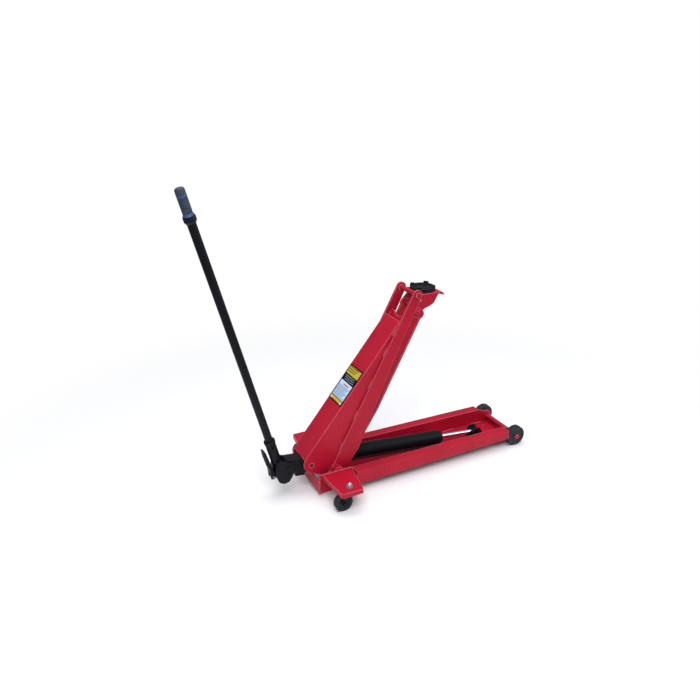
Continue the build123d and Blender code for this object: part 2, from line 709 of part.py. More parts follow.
pieces["floor_plate"] = floor_plate()
pieces["rear_plate"] = rear_plate()
pieces["caster_kingpins"] = kingpins()
pieces["front_axle"] = front_axle()
pieces["front_hub_caps"] = hub_caps()
pieces["front_wheel_spacers"] = wheel_spacers()
pieces["arm_pivot_pins"] = arm_pivot_pins()
pieces["link_pivot_pins"] = link_pivot_pins()
pieces["anchor_bracket"] = anchor_bracket()
pieces["anchor_bolts"] = anchor_bolts()
pieces["arm_web"] = arm_frame * arm_web()
pieces["hood"] = arm_frame * hood()
pieces["crank_pin"] = crank_pin()
pieces["head_pin"] = head_pin()
pieces["link_top_pin"] = link_top_pin()
pieces["head_bracket"] = head_bracket()
pieces["saddle_pad"] = saddle()
pieces["saddle_clip"] = saddle_clip()
pieces["pump_block"] = unit_frame * pump_block()
pieces["cylinder_tube"] = unit_frame * cylinder()
pieces["gland_nut"] = unit_frame * gland()
pieces["oil_pipe"] = unit_frame * oil_pipe()
pieces["banjo_bolt"] = unit_frame * pipe_ends()
pieces["filler_plug"] = unit_frame * filler_plug()
pieces["valve_plugs"] = unit_frame * valve_plugs()
pieces["piston"] = unit_frame * piston()
pieces["piston_rod"] = unit_frame * piston_rod()
pieces["rod_eye"] = unit_frame * rod_eye()
pieces["anchor_pin"] = unit_frame * anchor_pin()
pieces["pump_plunger"] = unit_frame * plunger()
pieces["handle_socket"] = socket() + pedal_tongue()
pieces["socket_pin"] = socket_pin()
pieces["heel_roller"] = heel_roller()
pieces["clamp_screw"] = clamp_bolt()
pieces["handle_tube"] = handle_tube()
pieces["handle_grip"] = grip()
pieces["handle_collar"] = collar()
pieces["foot_pedal"] = pedal()
pieces["pedal_pin"] = pedal_pin()

# origin: bottom centre of the whole box
boxes = [piece.bounding_box() for piece in pieces.values()]
low = [min(b.min.X for b in boxes), min(b.min.Y for b in boxes), min(b.min.Z for b in boxes)]
high = [max(b.max.X for b in boxes), max(b.max.Y for b in boxes), max(b.max.Z for b in boxes)]
origin = ((low[0] + high[0]) / 2, (low[1] + high[1]) / 2, low[2])

os.makedirs("parts", exist_ok=True)
for name, piece in pieces.items():
    export_step(Pos(-origin[0], -origin[1], -origin[2]) * piece, "parts/" + name + ".step")
print("pieces", len(pieces), "origin", [round(v, 3) for v in origin],
      "size", [round(high[i] - low[i], 1) for i in range(3)])
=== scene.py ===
import math
import json
import bpy
import bmesh
from mathutils import Vector, Matrix


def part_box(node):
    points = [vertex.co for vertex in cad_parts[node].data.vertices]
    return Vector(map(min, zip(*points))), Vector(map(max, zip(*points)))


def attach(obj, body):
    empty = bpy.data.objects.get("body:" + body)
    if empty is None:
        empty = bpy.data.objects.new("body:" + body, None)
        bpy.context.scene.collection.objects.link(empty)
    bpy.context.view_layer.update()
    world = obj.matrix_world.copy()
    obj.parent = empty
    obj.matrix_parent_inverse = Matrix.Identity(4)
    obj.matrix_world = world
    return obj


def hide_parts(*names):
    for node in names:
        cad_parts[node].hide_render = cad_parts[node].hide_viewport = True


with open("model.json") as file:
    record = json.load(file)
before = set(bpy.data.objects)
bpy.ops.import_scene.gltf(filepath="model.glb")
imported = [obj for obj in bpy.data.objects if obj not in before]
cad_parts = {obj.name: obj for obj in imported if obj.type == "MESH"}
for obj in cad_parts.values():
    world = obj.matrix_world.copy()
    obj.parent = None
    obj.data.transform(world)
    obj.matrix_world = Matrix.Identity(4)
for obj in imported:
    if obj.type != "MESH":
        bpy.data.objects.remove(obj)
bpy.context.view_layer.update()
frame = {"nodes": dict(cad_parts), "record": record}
nodes = frame["nodes"]
joints = {j["name"]: j for j in frame["record"]["behaviour"]["joints"]}
print("frame loaded")

# directions of the tilted assemblies, from the joints
armRoot = Vector(joints["arm_lift"]["pos_m"])
armHead = Vector(joints["head_level"]["pos_m"])
armAlong = (armHead - armRoot).normalized()
armUp = Vector((-armAlong.z, 0, armAlong.x))  # the hood's side of the arm
unitRoot = Vector(joints["unit_swing"]["pos_m"])
unitAlong = Vector(joints["ram_stroke"]["axis"]).normalized()
unitUp = Vector((-unitAlong.z, 0, unitAlong.x))
handleRoot = Vector(joints["handle_twist"]["pos_m"])
handleAlong = Vector(joints["handle_twist"]["axis"]).normalized()
sideways = Vector((0, 1, 0))


def mm(value):
    return value / 1000


def armPoint(s, y, n):  # millimetres along the arm, across, and out of its upper edge
    return armRoot + armAlong * mm(s) + sideways * mm(y) + armUp * mm(n)


def unitPoint(u, y, h):
    return unitRoot + unitAlong * mm(u) + sideways * mm(y) + unitUp * mm(h)


def turnedTo(origin, xAxis, zAxis):  # placement with local x and z along two directions
    x = xAxis.normalized()
    z = (zAxis - x * zAxis.dot(x)).normalized()
    y = z.cross(x)
    return Matrix.Translation(origin) @ Matrix((x, y, z)).transposed().to_4x4()


# colours and materials
def toLinear(hexText):
    values = [int(hexText[i:i + 2], 16) / 255 for i in (1, 3, 5)]
    return tuple(v / 12.92 if v <= 0.04045 else ((v + 0.055) / 1.055) ** 2.4 for v in values) + (1,)


def addNode(tree, kind, settings=None, links=None):
    node = tree.nodes.new(kind)
    for key, value in (settings or {}).items():
        if hasattr(node, key) and key not in node.inputs:
            setattr(node, key, value)
        else:
            node.inputs[key].default_value = value
    for key, source in (links or {}).items():
        tree.links.new(source, node.inputs[key])
    return node


def newMaterial(name, shaderSettings):
    mat = bpy.data.materials.new(name)
    mat.use_nodes = True
    tree = mat.node_tree
    shader = tree.nodes["Principled BSDF"]
    for key, value in shaderSettings.items():
        shader.inputs[key].default_value = value
    place = addNode(tree, "ShaderNodeTexCoord").outputs["Object"]
    return mat, tree, shader, place


def blendColours(tree, factor, low, high, start=0.0, end=1.0):
    ramp = addNode(tree, "ShaderNodeValToRGB", links={"Fac": factor})
    ramp.color_ramp.elements[0].position = start
    ramp.color_ramp.elements[1].position = end
    ramp.color_ramp.elements[0].color = toLinear(low)
    ramp.color_ramp.elements[1].color = toLinear(high)
    return ramp.outputs["Color"]


def spreadRoughness(tree, shader, factor, low, high):
    spread = addNode(tree, "ShaderNodeMapRange", {"To Min": low, "To Max": high}, {"Value": factor})
    tree.links.new(spread.outputs["Result"], shader.inputs["Roughness"])


def paintOver(name, paint):
    # sprayed enamel on sheet steel: even colour, faint orange peel, soft rounded edges that catch the light,
    # plus a painted highlight in a paler colour along those edges
    mat, tree, shader, place = newMaterial(name, {
        "IOR": 1.5, "Specular IOR Level": paint["gloss"], "Coat Weight": paint["coat"], "Coat Roughness": 0.12})
    cloud = addNode(tree, "ShaderNodeTexNoise", {"Scale": 9.0, "Detail": 3.0}, {"Vector": place})
    peel = addNode(tree, "ShaderNodeTexNoise", {"Scale": 1 / mm(paint["peelMm"]), "Detail": 2.0},
                   {"Vector": place})
    dustAndHighlightNoise = addNode(tree, "ShaderNodeTexNoise", {"Scale": 1 / mm(22), "Detail": 6.0, "Roughness": 0.7},
                   {"Vector": place})
    body = blendColours(tree, cloud.outputs["Fac"], paint["shade"], paint["colour"], 0.3, 0.65)
    rounded = addNode(tree, "ShaderNodeBevel", {"samples": 6, "Radius": mm(paint["edgeMm"])})
    plain = addNode(tree, "ShaderNodeNewGeometry")
    turn = addNode(tree, "ShaderNodeVectorMath", {"operation": "DOT_PRODUCT"})
    tree.links.new(rounded.outputs["Normal"], turn.inputs[0])
    tree.links.new(plain.outputs["Normal"], turn.inputs[1])
    edge = addNode(tree, "ShaderNodeMapRange", {"From Min": 0.995, "From Max": 0.86},
                   {"Value": turn.outputs["Value"]})
    # painted highlight: a paler colour mixed in along the rounded edges, broken up by noise that also spreads
    # the roughness
    paintedEdgeHighlight = addNode(tree, "ShaderNodeMath", {"operation": "MULTIPLY"})
    tree.links.new(edge.outputs["Result"], paintedEdgeHighlight.inputs[0])
    tree.links.new(dustAndHighlightNoise.outputs["Fac"], paintedEdgeHighlight.inputs[1])
    mixed = addNode(tree, "ShaderNodeMix", {"data_type": "RGBA"})
    firstColour, secondColour, mixedColour = 6, 7, 2  # the colour sockets of this node
    tree.links.new(paintedEdgeHighlight.outputs["Value"], mixed.inputs["Factor"])
    tree.links.new(body, mixed.inputs[firstColour])
    mixed.inputs[secondColour].default_value = toLinear(paint["edge"])
    tree.links.new(mixed.outputs[mixedColour], shader.inputs["Base Color"])
    spreadRoughness(tree, shader, dustAndHighlightNoise.outputs["Fac"], paint["roughness"] - 0.06, paint["roughness"] + 0.12)
    bump = addNode(tree, "ShaderNodeBump", {"Strength": paint["peel"], "Distance": mm(0.25)},
                   {"Height": peel.outputs["Fac"], "Normal": rounded.outputs["Normal"]})
    tree.links.new(bump.outputs["Normal"], shader.inputs["Normal"])
    return mat


redPaint = {"colour": "#B3142F", "shade": "#A50F29", "edge": "#F0A8B4", "roughness": 0.38,
            "coat": 0.04, "gloss": 0.18, "peelMm": 3.0, "peel": 0.10, "edgeMm": 3.8}
blackPaint = {"colour": "#121319", "shade": "#0C0D12", "edge": "#3A3E4A", "roughness": 0.40,
              "coat": 0.0, "gloss": 0.16, "peelMm": 2.4, "peel": 0.14, "edgeMm": 1.2}
castPaint = {"colour": "#14151B", "shade": "#0D0E13", "edge": "#3D414C", "roughness": 0.58,
             "coat": 0.0, "gloss": 0.2, "peelMm": 3.2, "peel": 0.75, "edgeMm": 2.0}
wheelPaint = {"colour": "#242830", "shade": "#1A1D24", "edge": "#4C5460", "roughness": 0.5,
              "coat": 0.0, "gloss": 0.3, "peelMm": 2.6, "peel": 0.4, "edgeMm": 1.5}
crimsonEnamel = paintOver("crimsonEnamel", redPaint)        # satin red, with a painted highlight along its edges
blackEnamel = paintOver("blackEnamel", blackPaint)          # satin bluish black over drawn tube and plate
sandCastIron = paintOver("sandCastIron", castPaint)         # rough pitted skin under thin black paint
collarPaint = {"colour": "#0D1424", "shade": "#080C17", "edge": "#2E4478", "roughness": 0.36,
               "coat": 0.06, "gloss": 0.2, "peelMm": 2.4, "peel": 0.12, "edgeMm": 2.0}
collarEnamel = paintOver("collarEnamel", collarPaint)       # blue-black, a little bluer than the tube it sits on
wheelCasting = paintOver("wheelCasting", wheelPaint)        # dusty blue-grey rolling faces


def metalSurface(name, metal):
    # bare or plated metal: colour clouds, fine machining lines or plating grain
    mat, tree, shader, place = newMaterial(name, {"Metallic": 1.0, "Roughness": metal["roughness"]})
    cloud = addNode(tree, "ShaderNodeTexNoise", {"Scale": 1 / mm(metal["cloudMm"]), "Detail": 4.0},
                    {"Vector": place})
    colour = blendColours(tree, cloud.outputs["Fac"], metal["shade"], metal["colour"], 0.35, 0.65)
    tree.links.new(colour, shader.inputs["Base Color"])
    spreadRoughness(tree, shader, cloud.outputs["Fac"], metal["roughness"] - 0.05, metal["roughness"] + 0.1)
    stretch = addNode(tree, "ShaderNodeMapping", {"Scale": metal["lines"]}, {"Vector": place})
    grain = addNode(tree, "ShaderNodeTexNoise", {"Scale": 1 / mm(metal["grainMm"]), "Detail": 2.0},
                    {"Vector": stretch.outputs["Vector"]})
    rounded = addNode(tree, "ShaderNodeBevel", {"samples": 4, "Radius": mm(0.6)})
    bump = addNode(tree, "ShaderNodeBump", {"Strength": metal["bump"], "Distance": mm(0.15)},
                   {"Height": grain.outputs["Fac"], "Normal": rounded.outputs["Normal"]})
    tree.links.new(bump.outputs["Normal"], shader.inputs["Normal"])
    return mat


zincPlate = metalSurface("zincPlate", {  # bright with a faint blue passivate and soft blotches
    "colour": "#DDE4EC", "shade": "#AEB9C6", "roughness": 0.26, "cloudMm": 7, "grainMm": 1.2,
    "lines": (1, 1, 1), "bump": 0.25})
hardChrome = metalSurface("hardChrome", {  # ground rod, mirror-like round the bar
    "colour": "#E8EEF5", "shade": "#C9D6E6", "roughness": 0.14, "cloudMm": 40, "grainMm": 1.0,
    "lines": (1.0, 0.2, 0.2), "bump": 0.12})
turnedSteel = metalSurface("turnedSteel", {  # lathe-turned pin ends, greyer and duller
    "colour": "#A2A6AD", "shade": "#7A7E86", "roughness": 0.38, "cloudMm": 12, "grainMm": 0.9,
    "lines": (1, 1, 1), "bump": 0.3})


def mouldedSurface(name, stuff):
    # moulded rubber or plastic: fine pebbled skin, no clear gloss
    mat, tree, shader, place = newMaterial(name, {"IOR": 1.5, "Specular IOR Level": 0.3})
    cloud = addNode(tree, "ShaderNodeTexNoise", {"Scale": 1 / mm(18), "Detail": 5.0}, {"Vector": place})
    colour = blendColours(tree, cloud.outputs["Fac"], stuff["shade"], stuff["colour"], 0.35, 0.65)
    tree.links.new(colour, shader.inputs["Base Color"])
    spreadRoughness(tree, shader, cloud.outputs["Fac"], stuff["roughness"] - 0.08, stuff["roughness"] + 0.1)
    pebble = addNode(tree, "ShaderNodeTexVoronoi", {"Scale": 1 / mm(stuff["pebbleMm"])}, {"Vector": place})
    bump = addNode(tree, "ShaderNodeBump", {"Strength": 0.35, "Distance": mm(0.2)},
                   {"Height": pebble.outputs["Distance"]})
    tree.links.new(bump.outputs["Normal"], shader.inputs["Normal"])
    return mat


nitrileGrip = mouldedSurface("nitrileGrip", {"colour": "#3C4857", "shade": "#2F3A48", "roughness": 0.6,
                                             "pebbleMm": 1.6})
# lighter blue for the collar's upward shoulder: a painted reflection
paintedShoulderReflection = mouldedSurface("paintedShoulderReflection", {"colour": "#3C5590", "shade": "#2C4070", "roughness": 0.42,
                                                   "pebbleMm": 2.6})
gripBand = mouldedSurface("gripBand", {"colour": "#465E96", "shade": "#384C7C", "roughness": 0.5,
                                       "pebbleMm": 1.6})
casterNylon = mouldedSurface("casterNylon", {"colour": "#23282F", "shade": "#181C22", "roughness": 0.55,
                                             "pebbleMm": 2.2})


def vinylSheet(name, hexText):  # printed label film: flat colour, little gloss, faint handling marks
    mat, tree, shader, place = newMaterial(name, {"Base Color": toLinear(hexText), "Roughness": 0.35,
                                                  "IOR": 1.46, "Specular IOR Level": 0.12})
    marks = addNode(tree, "ShaderNodeTexNoise", {"Scale": 1 / mm(9), "Detail": 6.0}, {"Vector": place})
    spreadRoughness(tree, shader, marks.outputs["Fac"], 0.28, 0.5)
    colour = addNode(tree, "ShaderNodeHueSaturation", {"Color": toLinear(hexText)})
    value = addNode(tree, "ShaderNodeMapRange", {"To Min": 0.93, "To Max": 1.04},
                    {"Value": marks.outputs["Fac"]})
    tree.links.new(value.outputs["Result"], colour.inputs["Value"])
    tree.links.new(colour.outputs["Color"], shader.inputs["Base Color"])
    return mat


labelYellow = vinylSheet("labelYellow", "#BFAA38")
labelBlack = vinylSheet("labelBlack", "#050509")
labelWhite = vinylSheet("labelWhite", "#C2D8EC")
labelGrey = vinylSheet("labelGrey", "#5C74A6")
labelRed = vinylSheet("labelRed", "#C8324A")

finishes = {
    crimsonEnamel: ["rail_left", "rail_right", "caster_wing_left", "caster_wing_right", "floor_plate",
                    "rear_plate", "front_axle", "front_hub_caps", "arm_cheek_left", "arm_cheek_right",
                    "arm_web", "hood", "head_pin", "crank_pin", "arm_pivot_pins", "link_pivot_pins",
                    "link_left", "link_right", "link_top_pin", "head_bracket"],
    blackEnamel: ["anchor_bracket", "handle_socket", "handle_tube", "foot_pedal", "cylinder_tube",
                  "oil_pipe", "caster_fork_left", "caster_fork_right", "socket_pin", "heel_roller",
                  "rod_eye", "anchor_pin", "gland_nut", "handle_collar", "clamp_screw",
                  "caster_axle_left", "caster_axle_right"],
    sandCastIron: ["pump_block", "saddle_pad", "filler_plug", "valve_plugs"],
    zincPlate: ["caster_kingpins", "banjo_bolt"],
    hardChrome: ["piston_rod", "piston"],
    turnedSteel: ["pump_plunger", "pedal_pin", "front_wheel_spacers", "saddle_clip", "anchor_bolts"],
    wheelCasting: ["front_wheel_left", "front_wheel_right"],
    casterNylon: ["caster_wheel_left", "caster_wheel_right"],
    nitrileGrip: ["handle_grip"],
}
for material, names in finishes.items():
    for name in names:
        nodes[name].data.materials.clear()
        nodes[name].data.materials.append(material)
print("materials on the frame")


# helpers for new pieces
def meshObject(bm, name, materials, smooth):
    mesh = bpy.data.meshes.new(name)
    bm.to_mesh(mesh)
    bm.free()
    for face in mesh.polygons:
        face.use_smooth = smooth
    piece = bpy.data.objects.new(name, mesh)
    bpy.context.scene.collection.objects.link(piece)
    for one in materials:
        mesh.materials.append(one)
    return piece


def finishPiece(bm, name, material, body, smooth=True, placement=None):
    weldDistance, sharpDegrees = 1e-6, 38
    if placement is not None:
        bmesh.ops.transform(bm, matrix=placement, verts=bm.verts)
    bmesh.ops.remove_doubles(bm, verts=bm.verts, dist=weldDistance)
    bmesh.ops.recalc_face_normals(bm, faces=bm.faces)
    piece = meshObject(bm, name, material if isinstance(material, list) else [material], smooth)
    if smooth:
        piece.data.set_sharp_from_angle(angle=math.radians(sharpDegrees))
    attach(piece, body)
    return piece


def turnProfile(bm, profile, steps=48):  # profile of (radius, height) in millimetres, spun about z
    verts = [bm.verts.new((mm(r), 0, mm(z))) for r, z in profile]
    edges = [bm.edges.new((a, b)) for a, b in zip(verts, verts[1:])]
    bmesh.ops.spin(bm, geom=verts + edges, cent=(0, 0, 0), axis=(0, 0, 1), angle=math.tau, steps=steps,
                   use_merge=True)


def slab(bm, low, high, bevel=0.0):  # block between two corners in millimetres
    size = [mm(h - l) for l, h in zip(low, high)]
    middle = [mm(h + l) / 2 for l, h in zip(low, high)]
    made = bmesh.ops.create_cube(bm, size=1.0, matrix=Matrix.Translation(middle) @ Matrix.Diagonal(size + [1]))
    if bevel:
        edges = list({e for v in made["verts"] for e in v.link_edges})
        bmesh.ops.bevel(bm, geom=edges, offset=mm(bevel), affect="EDGES", segments=2, profile=0.5, material=-1)


def weldBead(name, start, end, across, body, material):
    # overlapping weld ripples laid in a corner, painted over
    bead = {"radiusMm": 2.6, "stepMm": 3.4, "stretch": 1.15}
    bm = bmesh.new()
    count = max(3, int((end - start).length / mm(bead["stepMm"])))
    along = (end - start).normalized()
    for k in range(count):
        spot = start.lerp(end, (k + 0.5) / count)
        spread = turnedTo(spot, along, across) @ Matrix.Diagonal((bead["stretch"], 1.0, 1.0, 1))
        bmesh.ops.create_uvsphere(bm, u_segments=8, v_segments=6, radius=mm(bead["radiusMm"]), matrix=spread)
    piece = meshObject(bm, name, [material], True)
    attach(piece, body)
    return piece


def stitches(name, points, across, body, marks):
    # broken weld along a seam: equal stitches with gaps, each a row of ripples
    start, end = points
    for k, (a, b) in enumerate(marks):
        weldBead(name + "_" + str(k + 1), start.lerp(end, a), start.lerp(end, b), across, body, crimsonEnamel)


def largestFlat(node, towards):  # outward normal and corners of the biggest plane on one side of a node
    groups = {}
    mesh = nodes[node].data
    for face in mesh.polygons:
        if face.normal.dot(towards) > 0.5:
            groups.setdefault(tuple(round(v, 2) for v in face.normal), []).append(face)
    best = max(groups.values(), key=lambda faces: sum(f.area for f in faces))
    points = [mesh.vertices[i].co.copy() for f in best for i in f.vertices]
    return best[0].normal.copy(), points


def paintSlab(bm, low, high, index):
    before = set(bm.faces)
    slab(bm, low, high)
    for face in bm.faces:
        if face not in before:
            face.material_index = index


# label on the hood
label = {"fromTopMm": 240, "longMm": 160, "halfWideMm": 51, "sideMm": 3.2, "filmMm": 0.25, "borderMm": 6.2,
         "layerMm": 0.12, "topField": (0.0, 0.245), "paleField": (0.445, 0.865), "footField": (0.885, 1.0),
         "discAt": 0.942, "discSideMm": 38, "discRadiusMm": 5.2}
hoodOut, hoodPoints = largestFlat("hood", armUp)
hoodDown = sideways.cross(hoodOut)
if hoodDown.z > 0:
    hoodDown = -hoodDown
hoodTop = max(hoodPoints, key=lambda p: p.z)
hoodTop = Vector((hoodTop.x, 0, hoodTop.z))
labelTop = hoodTop + hoodDown * mm(label["fromTopMm"]) + sideways * mm(label["sideMm"])
labelFrame = turnedTo(labelTop, hoodDown, hoodOut)


def makeLabel():
    long, half, film, rim = label["longMm"], label["halfWideMm"], label["filmMm"], label["borderMm"]
    black, yellow, white, grey, red = range(5)
    layer = film + label["layerMm"]
    bm = bmesh.new()
    paintSlab(bm, (0, -half, 0.02), (long, half, film), black)
    for (start, end), colour in ((label["topField"], yellow), (label["paleField"], white),
                                 (label["footField"], yellow)):
        paintSlab(bm, (max(long * start, rim), -half + rim, 0.05),
                  (min(long * end, long - rim), half - rim, layer), colour)
    top = layer + label["layerMm"]
    for k in range(3):  # short light bars that stand for a title on the dark field
        x = long * (0.285 + 0.05 * k)
        for j in range(6):
            y = -half + 16 + j * 12 + k * 3
            paintSlab(bm, (x, y, 0.05), (x + 2.4, y + 5.5, top), white)
    paintSlab(bm, (long * 0.50, -half + 34, 0.05), (long * 0.53, half - 26, top), red)
    for k in range(9):  # grey bars that stand for lines of small print
        x = long * 0.565 + k * 5.2
        paintSlab(bm, (x, -half + 8, 0.05), (x + 2.3, half - 8 - (k * 7) % 26, top), grey)
    for k in range(3):  # dark bars of falling length on the top field
        x = long * 0.05 + k * 9
        paintSlab(bm, (x, -half + 9, 0.05), (x + 3.2, half - 22 - k * 8, top), black)
    for side in (-1, 1):
        spot = Matrix.Translation((mm(long * label["discAt"]), mm(label["discSideMm"] * side), mm(0.3)))
        disc = mm(label["discRadiusMm"])
        made = bmesh.ops.create_cone(bm, cap_ends=True, segments=32, radius1=disc, radius2=disc,
                                     depth=mm(0.5), matrix=spot)
        for face in {f for v in made["verts"] for f in v.link_faces}:
            face.material_index = white
    colours = [labelBlack, labelYellow, labelWhite, labelGrey, labelRed]
    finishPiece(bm, "hood_label", colours, "arm", smooth=False, placement=labelFrame)


makeLabel()
print("label placed")

# weld beads
seams = {"beadSideMm": 57.6, "hoodFromMm": (64, 23.4), "hoodToMm": (610, 22.4), "webSideMm": 54.5,
         "webFromMm": 600, "webToMm": 648, "webUpMm": 0.8, "railFaceMm": 94, "floorSideMm": 87,
         "floorTopMm": 18.8,
         "hoodMarks": [(0.02, 0.09), (0.27, 0.34), (0.52, 0.59), (0.77, 0.84), (0.93, 0.985)],
         "floorMarks": [(0.02, 0.1), (0.24, 0.32), (0.47, 0.55), (0.70, 0.78), (0.9, 0.98)]}


def makeWelds(word, side):
    y = seams["beadSideMm"] * side
    (hoodStart, hoodStartUp), (hoodEnd, hoodEndUp) = seams["hoodFromMm"], seams["hoodToMm"]
    stitches("weld_hood_" + word, (armPoint(hoodStart, y, hoodStartUp), armPoint(hoodEnd, y, hoodEndUp)),
             sideways, "arm", seams["hoodMarks"])
    webY = seams["webSideMm"] * side
    weldBead("weld_web_" + word, armPoint(seams["webFromMm"], webY, seams["webUpMm"]),
             armPoint(seams["webToMm"], webY, seams["webUpMm"]), armUp, "arm", crimsonEnamel)
    wingLow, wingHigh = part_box("caster_wing_" + word)
    plateLow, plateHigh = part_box("rear_plate")
    floorLow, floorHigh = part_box("floor_plate")
    railFace = mm(seams["railFaceMm"]) * side
    weldBead("weld_wing_" + word, Vector((wingLow.x + mm(3), railFace, wingHigh.z - mm(0.9))),
             Vector((wingHigh.x - mm(3), railFace, wingHigh.z - mm(0.9))), sideways, "frame", crimsonEnamel)
    rearX, rearY = plateHigh.x + mm(1), railFace + mm(1.2) * side
    weldBead("weld_rear_" + word, Vector((rearX, rearY, plateLow.z + mm(4))),
             Vector((rearX, rearY, plateHigh.z - mm(2))), sideways, "frame", crimsonEnamel)
    inner, floorTop = mm(seams["floorSideMm"]) * side, mm(seams["floorTopMm"])
    stitches("weld_floor_" + word, (Vector((floorLow.x + mm(8), inner, floorTop)),
                                    Vector((floorHigh.x - mm(30), inner, floorTop))),
             sideways, "frame", seams["floorMarks"])


makeWelds("left", 1)
makeWelds("right", -1)
print("welds laid")


def acrossPlacement(center, side=1):  # local z out along +y or -y
    return turnedTo(center, Vector((1, 0, 0)), sideways * side)


# front wheels: cast rolling face, dished web, turned hub face
frontWheel = {"rimWidth": 30, "dish": 3.0, "hubRadius": 17.5, "lipRadius": 33, "bore": 8.4, "edge": 4.5,
              "edgeSteps": 6}


def makeFrontWheel(word, side):
    low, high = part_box("front_wheel_" + word)
    center = (low + high) / 2
    radius = (high.z - low.z) / 2 * 1000
    half = frontWheel["rimWidth"] / 2
    bore, hub, lip, dish = (frontWheel[key] for key in ("bore", "hubRadius", "lipRadius", "dish"))
    edge, edgeSteps = frontWheel["edge"], frontWheel["edgeSteps"]
    profile = [(bore, -half), (radius - edge - 4, -half), (radius - edge, -half + 0.4)]
    for k in range(edgeSteps):
        a = math.radians(-90 + 90 * (k + 0.5) / edgeSteps)
        profile.append((radius - edge + edge * math.cos(a), -half + edge + edge * math.sin(a)))
    profile += [(radius - 0.1, -4), (radius, 0), (radius - 0.1, 4)]
    for k in range(edgeSteps):
        a = math.radians(90 * (k + 0.5) / edgeSteps)
        profile.append((radius - edge + edge * math.cos(a), half - edge + edge * math.sin(a)))
    profile += [(radius - edge - 1, half), (lip + 1.6, half - 0.1), (lip, half - 0.9), (lip - 2.2, half - dish),
                (hub + 3, half - dish - 0.4), (hub + 0.9, half - 1.0), (hub, half - 0.3), (hub - 1, half),
                (bore + 1, half), (bore, half - 1), (bore, -half)]
    bm = bmesh.new()
    turnProfile(bm, profile, steps=96)
    wheel = finishPiece(bm, "front_wheel_detail_" + word, wheelCasting, "front_wheel_" + word[0],
                        placement=acrossPlacement(center, side))
    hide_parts("front_wheel_" + word)


makeFrontWheel("left", 1)
makeFrontWheel("right", -1)

# caster wheels: moulded tread, stepped web, hub
casterTyre = {"halfWidth": 12, "edge": 4.0, "edgeSteps": 5, "hubRadius": 13, "hubHalf": 13, "bore": 6.4}


def makeCaster(word):
    low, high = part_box("caster_wheel_" + word)
    center = (low + high) / 2
    radius = (high.z - low.z) / 2 * 1000
    half, edge = casterTyre["halfWidth"], casterTyre["edge"]
    hub, hubHalf, bore = casterTyre["hubRadius"], casterTyre["hubHalf"], casterTyre["bore"]
    sideProfile = [(bore, hubHalf), (hub - 0.8, hubHalf), (hub, hubHalf - 0.8), (hub + 0.8, half - 4.6),
                   (22, half - 4.2), (23.6, half - 3.2), (25.5, half - 0.4), (27, half), (radius - edge, half)]
    for k in range(casterTyre["edgeSteps"]):
        a = math.radians(90 - 90 * (k + 0.5) / casterTyre["edgeSteps"])
        sideProfile.append((radius - edge + edge * math.cos(a), half - edge + edge * math.sin(a)))
    tread = [(radius - 0.2, 4.2), (radius - 0.25, 3.6), (radius - 1.4, 3.2), (radius - 1.4, 2.0),
             (radius - 0.1, 1.5), (radius, 0)]
    oneSide = sideProfile + tread
    profile = oneSide + [(r, -z) for r, z in reversed(oneSide[:-1])] + [(bore, hubHalf)]
    bm = bmesh.new()
    turnProfile(bm, profile, steps=80)
    wheel = finishPiece(bm, "caster_tyre_" + word, casterNylon, "caster_wheel_" + word[0],
                        placement=acrossPlacement(center))
    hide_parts("caster_wheel_" + word)


makeCaster("left")
makeCaster("right")
print("wheels turned")

# grip, band, collar on the handle
handleTop = handleRoot + handleAlong * mm(1090)
gripShape = {"radius": 16.8, "bore": 15.3, "foot": -74, "top": 6, "dome": 9, "domeSteps": 8, "ribs": 7,
             "ribPitch": 5.4, "ribDeep": 0.9, "bandFrom": -24.0, "bandTo": -18.0}


def makeGrip():
    place = turnedTo(handleTop, sideways, handleAlong)
    r, foot, top = gripShape["radius"], gripShape["foot"], gripShape["top"]
    dome, domeSteps = gripShape["dome"], gripShape["domeSteps"]
    profile = [(gripShape["bore"], foot), (r - 1.0, foot), (r, foot + 1.2), (r, foot + 7)]
    z = foot + 8
    for k in range(gripShape["ribs"]):  # shallow finger grooves
        pitch, deep = gripShape["ribPitch"], gripShape["ribDeep"]
        profile += [(r, z), (r - deep * 0.8, z + 0.5), (r - deep, z + 1.1), (r - deep * 0.8, z + 1.7),
                    (r, z + 2.2)]
        z += pitch
    profile += [(r, gripShape["bandFrom"] - 0.6), (r - 0.7, gripShape["bandFrom"] - 0.3),
                (r - 0.7, gripShape["bandTo"] + 0.3), (r, gripShape["bandTo"] + 0.6)]
    for k in range(1, domeSteps + 1):
        a = math.radians(90 * k / domeSteps)
        profile.append((r - dome + dome * math.cos(a), top - dome + dome * math.sin(a)))
    profile += [(4.0, top), (3.2, top - 0.8), (0.0001, top - 0.8)]
    bm = bmesh.new()
    turnProfile(bm, profile, steps=64)
    grip = finishPiece(bm, "grip_sleeve", nitrileGrip, "handle", placement=place)
    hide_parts("handle_grip")
    bm = bmesh.new()
    low, high = gripShape["bandFrom"], gripShape["bandTo"]
    turnProfile(bm, [(r - 0.9, low), (r - 0.1, low + 0.1), (r, low + 0.7), (r, high - 0.7),
                     (r - 0.1, high - 0.1), (r - 0.9, high)], steps=64)
    finishPiece(bm, "grip_band", gripBand, "handle", placement=place)


collarShape = {"radius": 21.4, "bore": 15.3, "lip": 16.4, "foot": -111, "top": -75, "shoulderAt": -84.9,
               "shoulderInside": 15.8}


